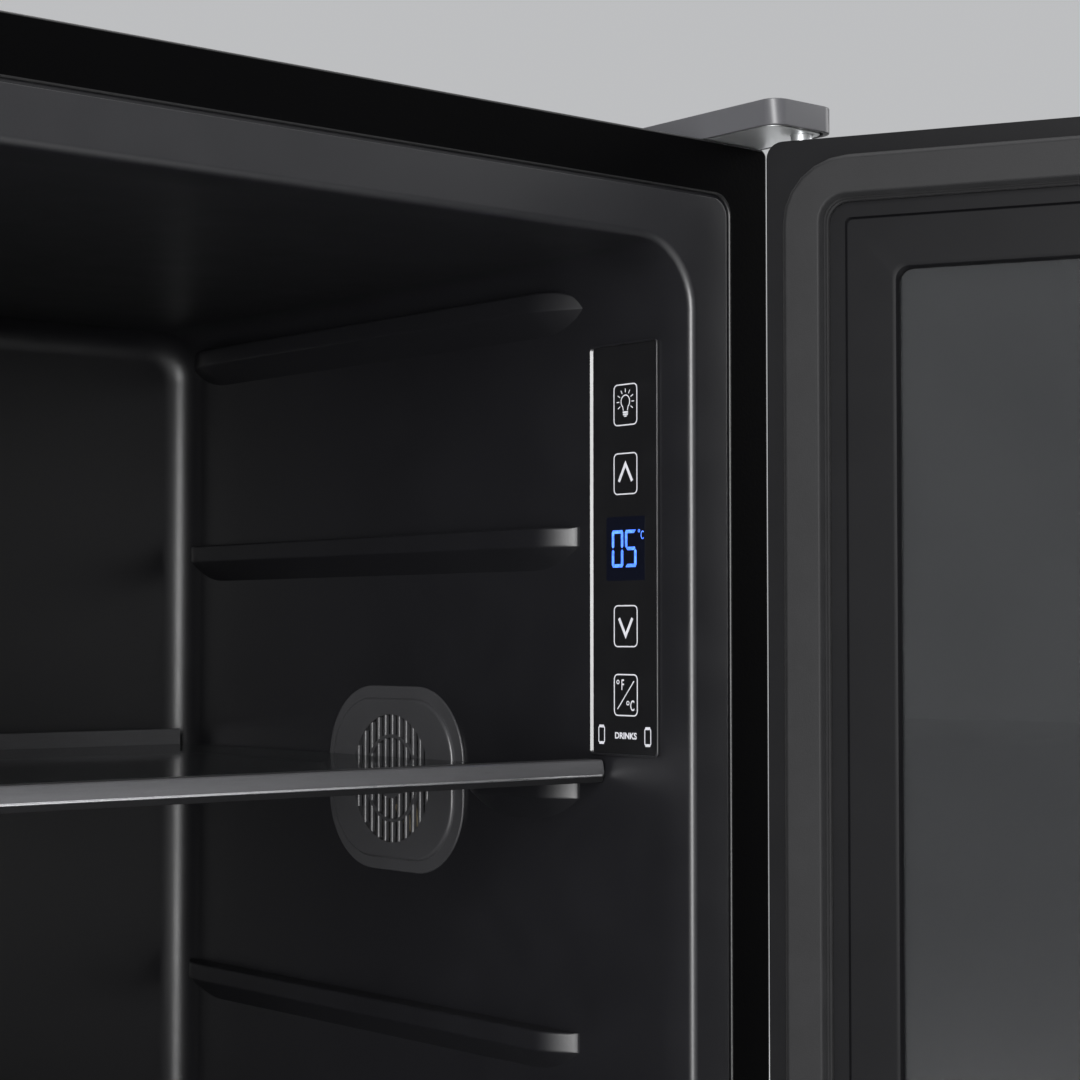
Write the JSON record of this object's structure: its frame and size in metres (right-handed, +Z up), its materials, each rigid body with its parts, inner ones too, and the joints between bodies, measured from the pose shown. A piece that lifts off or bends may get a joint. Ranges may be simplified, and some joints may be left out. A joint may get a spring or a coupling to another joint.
{
  "type": "compact beverage fridge",
  "caption": "Free-standing compact fridge with a hinged glass door, slide-out glass shelves and a touch control panel inside the right wall.",
  "frame": {"origin": "middle of the bounding box in plan, door open as at rest, on the surface that the feet stand on", "axes": "+Z up, +Y from the open front towards the back, +X towards the hinge side (right, seen from the front)"},
  "size_m": [0.6716, 0.8518, 0.846],
  "materials": {
    "black_steel": "satin",
    "black_plastic": "satin",
    "gloss_black": "gloss",
    "zinc_steel": "satin",
    "screw_steel": "satin",
    "foam": "matte",
    "rubber": "matte",
    "clear_glass": "gloss",
    "shelf_trim": "satin",
    "milky_plastic": "satin",
    "board": "satin",
    "copper": "satin",
    "aluminium": "satin",
    "compressor_black": "satin",
    "handle_metal": "satin"
  },
  "bodies": {
    "cabinet": {"back_panel": "zinc_steel", "base_plate": "zinc_steel", "bottom_hinge_pin": "screw_steel", "bottom_hinge_plate": "zinc_steel", "bottom_hinge_screw_front": "screw_steel", "bottom_hinge_screw_rear": "screw_steel", "cable_gland": "rubber", "compressor_lower_shell": "compressor_black", "compressor_mount": "zinc_steel", "compressor_pump": "zinc_steel", "compressor_upper_shell": "compressor_black", "condenser_coil": "black_steel", "control_bezel": "black_plastic", "control_board": "board", "control_face": "gloss_black", "discharge_tube": "copper", "display_module": "gloss_black", "drip_tray": "black_plastic", "evaporator_plate": "aluminium", "fan_cover": "black_plastic", "fan_frame": "gloss_black", "foam_body": "foam", "front_sill": "black_steel", "inner_liner": "black_plastic", "light_housing": "black_plastic", "light_lens": "milky_plastic", "outer_shell": "black_steel", "rear_foot_left": "rubber", "rear_foot_right": "rubber", "room_cover": "zinc_steel", "start_relay": "black_plastic", "suction_tube": "copper", "top_hinge_cover": "black_plastic", "top_hinge_pin": "screw_steel", "top_hinge_plate": "zinc_steel", "top_hinge_screw_front": "screw_steel", "top_hinge_screw_rear": "screw_steel"},
    "door": {"door_frame": "black_plastic", "door_outer_glass": "clear_glass", "door_inner_glass": "clear_glass", "glass_spacer": "aluminium", "door_inner_trim": "black_plastic", "door_gasket": "rubber", "door_bush_top": "milky_plastic", "door_bush_bottom": "milky_plastic", "handle_bar": "handle_metal", "handle_post_upper": "handle_metal", "handle_post_lower": "handle_metal"},
    "circulation_fan": {"fan_rotor": "gloss_black"},
    "levelling_foot_left": {"levelling_foot_left": "rubber"},
    "levelling_foot_right": {"levelling_foot_right": "rubber"},
    "upper_shelf": {"upper_shelf_glass": "clear_glass", "upper_shelf_front_trim": "shelf_trim", "upper_shelf_rear_trim": "shelf_trim"},
    "middle_shelf": {"middle_shelf_glass": "clear_glass", "middle_shelf_front_trim": "shelf_trim", "middle_shelf_rear_trim": "shelf_trim"},
    "lower_shelf": {"lower_shelf_glass": "clear_glass", "lower_shelf_front_trim": "shelf_trim", "lower_shelf_rear_trim": "shelf_trim"}
  },
  "joints": [
    {"name": "door_hinge", "type": "hinge", "parent": "cabinet", "child": "door", "pos_m": [0.0962, -0.03286, 0], "axis": [0, 0, 1], "range_deg": [-117, 13]},
    {"name": "upper_shelf_slide", "type": "slide", "parent": "cabinet", "child": "upper_shelf", "axis": [0, -1, 0], "range_m": [0, 0.25]},
    {"name": "middle_shelf_slide", "type": "slide", "parent": "cabinet", "child": "middle_shelf", "axis": [0, -1, 0], "range_m": [0, 0.25]},
    {"name": "lower_shelf_slide", "type": "slide", "parent": "cabinet", "child": "lower_shelf", "axis": [0, -1, 0], "range_m": [0, 0.25]},
    {"name": "fan_spin", "type": "hinge", "parent": "cabinet", "child": "circulation_fan", "pos_m": [0.0722, 0.17384, 0.591], "axis": [1, 0, 0], "continuous": true},
    {"name": "foot_left_turn", "type": "hinge", "parent": "cabinet", "child": "levelling_foot_left", "pos_m": [-0.2758, 0.02314, 0], "axis": [0, 0, 1], "continuous": true},
    {"name": "foot_right_turn", "type": "hinge", "parent": "cabinet", "child": "levelling_foot_right", "pos_m": [0.0442, 0.02314, 0], "axis": [0, 0, 1], "continuous": true}
  ]
}
